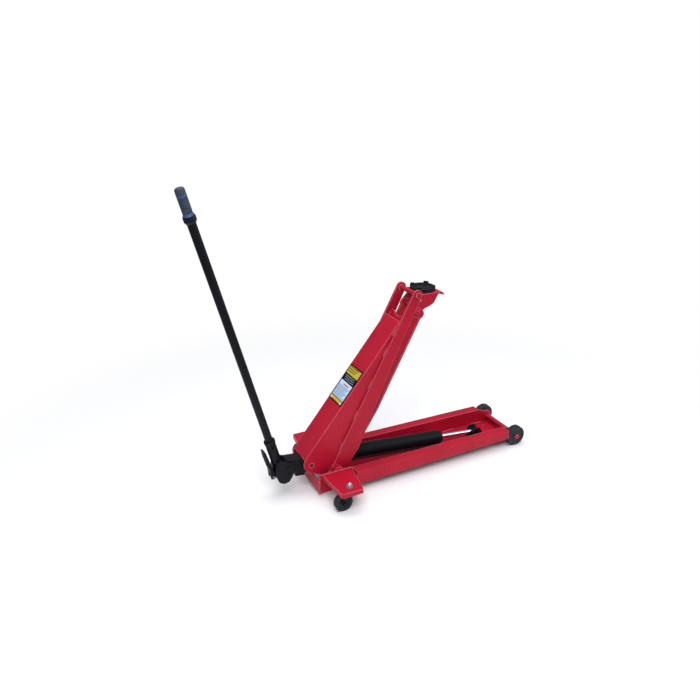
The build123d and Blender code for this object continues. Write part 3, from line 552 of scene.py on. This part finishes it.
def makeCollar():
    place = turnedTo(handleTop, sideways, handleAlong)
    r, bore, lip, foot, top = (collarShape[key] for key in ("radius", "bore", "lip", "foot", "top"))
    profile = [(bore, foot + 0.2), (bore + 0.3, foot), (lip, foot)]
    profile += [(r - 3.6, -107.4), (r - 1.2, -104.6), (r - 0.3, -102.4), (r, -100.2), (r, -87.2),
                (r - 0.4, -85.8), (r - 1.2, -84.8), (r - 4.2, -79.2)]
    profile += [(lip, top - 0.3), (bore + 0.3, top), (bore, top - 0.2)]
    bm = bmesh.new()
    turnProfile(bm, profile, steps=64)
    for face in bm.faces:  # the sloping shoulder above the collar's wide part takes a lighter blue: a painted reflection
        middle = face.calc_center_median()
        if middle.z > mm(collarShape["shoulderAt"]) and middle.xy.length > mm(collarShape["shoulderInside"]):
            face.material_index = 1
    collar = finishPiece(bm, "collar_ring", [collarEnamel, paintedShoulderReflection], "handle",
                         placement=place)
    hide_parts("handle_collar")


makeGrip()
makeCollar()
print("handle dressed")

# saddle: serrated rim between the lugs
saddleTeeth = {"count": 40, "inner": 38.5, "outer": 47.6, "high": 1.4, "wide": 2.4, "sunk": 0.6, "belowTop": 7,
               "lugs": 4, "firstLug": 40, "lugHalf": 15}
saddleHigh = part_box("saddle_pad")[1]
saddleAxis = Vector(joints["saddle_spin"]["pos_m"])


def makeSaddleTeeth():
    bm = bmesh.new()
    rimTop = saddleHigh.z - mm(saddleTeeth["belowTop"])
    lugs, firstLug = saddleTeeth["lugs"], saddleTeeth["firstLug"]
    for k in range(saddleTeeth["count"]):
        turn = math.tau * (k + 0.5) / saddleTeeth["count"]
        nearLug = min(abs((math.degrees(turn) - firstLug - 360 / lugs * q + 180) % 360 - 180)
                      for q in range(lugs))
        if nearLug < saddleTeeth["lugHalf"]:
            continue
        spot = Matrix.Translation((saddleAxis.x, saddleAxis.y, rimTop)) @ Matrix.Rotation(turn, 4, "Z")
        before = set(bm.verts)
        half = saddleTeeth["wide"] / 2
        slab(bm, (saddleTeeth["inner"], -half, -saddleTeeth["sunk"]),
             (saddleTeeth["outer"], half, saddleTeeth["high"]), 0.5)
        bmesh.ops.transform(bm, matrix=spot, verts=[v for v in bm.verts if v not in before])
    finishPiece(bm, "saddle_serrations", sandCastIron, "saddle")


makeSaddleTeeth()
print("saddle cut")


# small fittings
def alongAxis(center, axis):  # local z on the axis, local x square to it
    side = Vector((0, 1, 0)) if abs(axis.y) < 0.9 else Vector((1, 0, 0))
    return turnedTo(center, side, axis)


def hexPiece(name, center, axis, across, thick, material, body):
    corner = mm(across / 1.732)  # centre to corner, from the width across flats
    bm = bmesh.new()
    bmesh.ops.create_cone(bm, cap_ends=True, segments=6, radius1=corner, radius2=corner, depth=mm(thick))
    bmesh.ops.bevel(bm, geom=list(bm.edges), offset=mm(0.6), affect="EDGES", segments=2, profile=0.5,
                    material=-1)
    return finishPiece(bm, name, material, body, placement=alongAxis(center, axis))


def ringPiece(name, center, axis, profile, material, body, steps=48):
    bm = bmesh.new()
    turnProfile(bm, profile + [profile[0]], steps=steps)
    return finishPiece(bm, name, material, body, placement=alongAxis(center, axis))


def washerProfile(inner, outer, low, high, edge=0.5):
    return [(inner, low), (outer - edge, low), (outer, low + edge), (outer, high - edge),
            (outer - edge, high), (inner, high)]


fittings = {"pipeAt": (52, -31.0, -19.9), "railFaceMm": 94, "boltOutMm": 4.6, "headPinHalfMm": 71,
            "crankPinHalfMm": 56}
ringPiece("cylinder_base_ring", unitPoint(0, 0, 0), unitAlong,
          washerProfile(29.4, 33.0, 46.2, 58.0, 1.2), sandCastIron, "unit", 64)
ringPiece("cylinder_nose_band", unitPoint(0, 0, 0), unitAlong,
          washerProfile(29.3, 30.4, 600.0, 616.0, 0.6), blackEnamel, "unit", 64)
hexPiece("pipe_union_nut", unitPoint(*fittings["pipeAt"]), unitAlong, 13, 11, blackEnamel, "unit")
ringPiece("gland_wiper", unitPoint(0, 0, 0), unitAlong,
          washerProfile(10.6, 15.0, 640.6, 643.4, 0.6), nitrileGrip, "unit", 48)

for side, word in ((1, "left"), (-1, "right")):
    out = sideways * side
    armPin = armRoot + out * mm(fittings["railFaceMm"])
    ringPiece("pivot_washer_" + word, armPin, out, washerProfile(0.001, 12.0, 0.0, 2.2, 0.6), crimsonEnamel,
              "frame")
    hexPiece("pivot_bolt_" + word, armPin + out * mm(fittings["boltOutMm"]), out, 16, 5.2, crimsonEnamel,
             "frame")
    kingpin = Vector(joints["caster_swivel_" + word[0]]["pos_m"])
    ringPiece("caster_race_" + word, Vector((kingpin.x, kingpin.y, 0)), Vector((0, 0, 1)),
              washerProfile(13.5, 21.0, 85.2, 86.6, 0.4), zincPlate, "caster_" + word[0])
    head = armHead + out * mm(fittings["headPinHalfMm"])
    ringPiece("head_pin_cap_" + word, head, out, washerProfile(0.001, 10.2, -0.4, 0.6, 0.5), crimsonEnamel,
              "arm")
    # a thin black disc over each crank pin's socket: painted shade for the dark hole
    ringPiece("crank_pin_shade_disc_" + word, unitRoot + out * mm(fittings["crankPinHalfMm"]), out,
              washerProfile(0.001, 5.6, 0.0, 0.25, 0.1), blackEnamel, "arm")
ringPiece("handle_socket_lip", handleRoot, handleAlong, washerProfile(19.9, 22.2, 100.0, 108.2, 1.2),
          blackEnamel, "socket", 64)
print("fittings placed")


pedalRibs = {"count": 5, "firstMm": 52, "pitchMm": 13, "backMm": 7.2, "backStepMm": 0.25, "halfLong": 14,
             "halfWide": 1.5, "halfHigh": 1.8}


def makePedalRibs():
    hinge = Vector(joints["pedal_fold"]["pos_m"])
    bm = bmesh.new()
    x, y, z = pedalRibs["halfLong"], pedalRibs["halfWide"], pedalRibs["halfHigh"]
    for k in range(pedalRibs["count"]):
        spot = hinge + handleAlong * mm(pedalRibs["firstMm"] + pedalRibs["pitchMm"] * k)
        spot -= Vector((1, 0, 0)) * mm(pedalRibs["backMm"] + pedalRibs["backStepMm"] * k)
        place = turnedTo(spot, sideways, handleAlong)
        before = set(bm.verts)
        slab(bm, (-x, -y, -z), (x, y, z), 0.8)
        bmesh.ops.transform(bm, matrix=place, verts=[v for v in bm.verts if v not in before])
    finishPiece(bm, "pedal_tread_ribs", blackEnamel, "pedal")


makePedalRibs()

# floor, light and camera
studio = {"floorHalf": 6.0, "floorHex": "#F7F7F8", "solidTo": 0.9, "clearFrom": 2.0, "surround": 0.34,
          "keyPower": 100, "fillPower": 26, "topPower": 78}


def makeFloor():
    bm = bmesh.new()
    bmesh.ops.create_grid(bm, x_segments=2, y_segments=2, size=studio["floorHalf"])
    # white paper that fades into the white surround a few steps away
    mat, tree, shader, place = newMaterial("paperSweep", {"Roughness": 0.95, "Specular IOR Level": 0.05})
    shader.inputs["Base Color"].default_value = toLinear(studio["floorHex"])
    away = addNode(tree, "ShaderNodeVectorMath", {"operation": "LENGTH"})
    tree.links.new(place, away.inputs[0])
    fade = addNode(tree, "ShaderNodeMapRange", {"From Min": studio["solidTo"], "From Max": studio["clearFrom"],
                                                "interpolation_type": "SMOOTHSTEP"},
                   {"Value": away.outputs["Value"]})
    clear = addNode(tree, "ShaderNodeBsdfTransparent")
    both = addNode(tree, "ShaderNodeMixShader", links={"Fac": fade.outputs["Result"]})
    tree.links.new(shader.outputs["BSDF"], both.inputs[1])
    tree.links.new(clear.outputs["BSDF"], both.inputs[2])
    tree.links.new(both.outputs["Shader"], tree.nodes["Material Output"].inputs["Surface"])
    floor = meshObject(bm, "floor", [mat], False)


makeFloor()


def areaLight(name, location, target, size, power, hexText="#FFFFFF"):
    data = bpy.data.lights.new(name, "AREA")
    data.shape = "RECTANGLE"
    data.size = size[0]
    data.size_y = size[1]
    data.energy = power
    data.color = toLinear(hexText)[:3]
    light = bpy.data.objects.new(name, data)
    light.location = location
    light.rotation_euler = (Vector(target) - Vector(location)).to_track_quat("-Z", "Y").to_euler()
    bpy.context.scene.collection.objects.link(light)


areaLight("keySoftbox", (-1.2, -2.2, 3.4), (0.0, 0, 0.3), (2.6, 2.0), studio["keyPower"])
areaLight("fillSoftbox", (2.8, -1.4, 1.8), (0.1, 0, 0.3), (1.8, 2.0), studio["fillPower"], "#EEF3FF")
areaLight("topSoftbox", (0.0, 0.6, 3.8), (0, 0, 0.0), (3.2, 2.6), studio["topPower"])

world = bpy.data.worlds.new("studioWhite")
bpy.context.scene.world = world
world.use_nodes = True
sky = world.node_tree
back = sky.nodes["Background"]
back.inputs["Color"].default_value = toLinear("#F4F7FF")
back.inputs["Strength"].default_value = studio["surround"]
seen = addNode(sky, "ShaderNodeBackground", {"Color": (1, 1, 1, 1), "Strength": 1.0})
rays = addNode(sky, "ShaderNodeLightPath")
choose = addNode(sky, "ShaderNodeMixShader", links={"Fac": rays.outputs["Is Camera Ray"]})
sky.links.new(back.outputs["Background"], choose.inputs[1])
sky.links.new(seen.outputs["Background"], choose.inputs[2])
sky.links.new(choose.outputs["Shader"], sky.nodes["World Output"].inputs["Surface"])
bpy.context.scene.view_settings.view_transform = "Standard"

view = {"lens": 32.9, "sensor": 36, "shift": (0.0093, -0.0043), "place": (-1.1146, -2.0113, 1.5049),
        "turnDegrees": (67.4, 0.1, -26.1)}
cameraData = bpy.data.cameras.new("camera")
cameraData.lens = view["lens"]
cameraData.sensor_width = view["sensor"]
cameraData.shift_x, cameraData.shift_y = view["shift"]
camera = bpy.data.objects.new("camera", cameraData)
camera.location = view["place"]
camera.rotation_euler = [math.radians(turn) for turn in view["turnDegrees"]]
bpy.context.scene.collection.objects.link(camera)
bpy.context.scene.camera = camera
print("studio ready")
